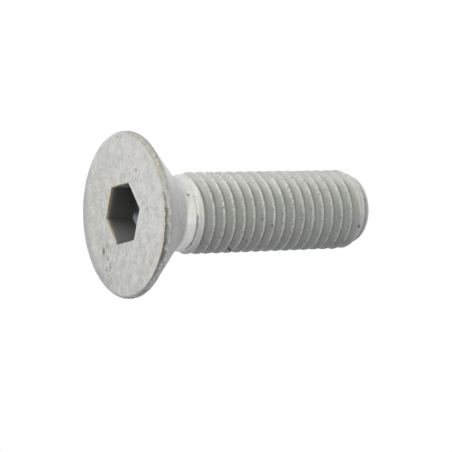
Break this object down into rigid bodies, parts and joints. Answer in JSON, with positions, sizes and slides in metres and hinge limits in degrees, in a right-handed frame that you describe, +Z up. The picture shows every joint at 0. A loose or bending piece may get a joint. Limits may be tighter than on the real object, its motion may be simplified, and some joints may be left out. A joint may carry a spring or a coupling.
{
  "type": "countersunk screw",
  "caption": "Galvanised machine screw with a flat countersunk head, a hexagon socket and a right-hand thread above a short plain neck, standing on its head.",
  "frame": {"origin": "centre of the head's flat face, on the surface that the screw stands on", "axes": "+Z up along the screw's axis, from the head's face to the point; +X towards the side on which thread crests lie whole pitches from the face"},
  "size_m": [0.024, 0.024, 0.0404],
  "materials": {
    "zinc": "matte"
  },
  "bodies": {
    "root": {"screw": "zinc"}
  },
  "joints": []
}
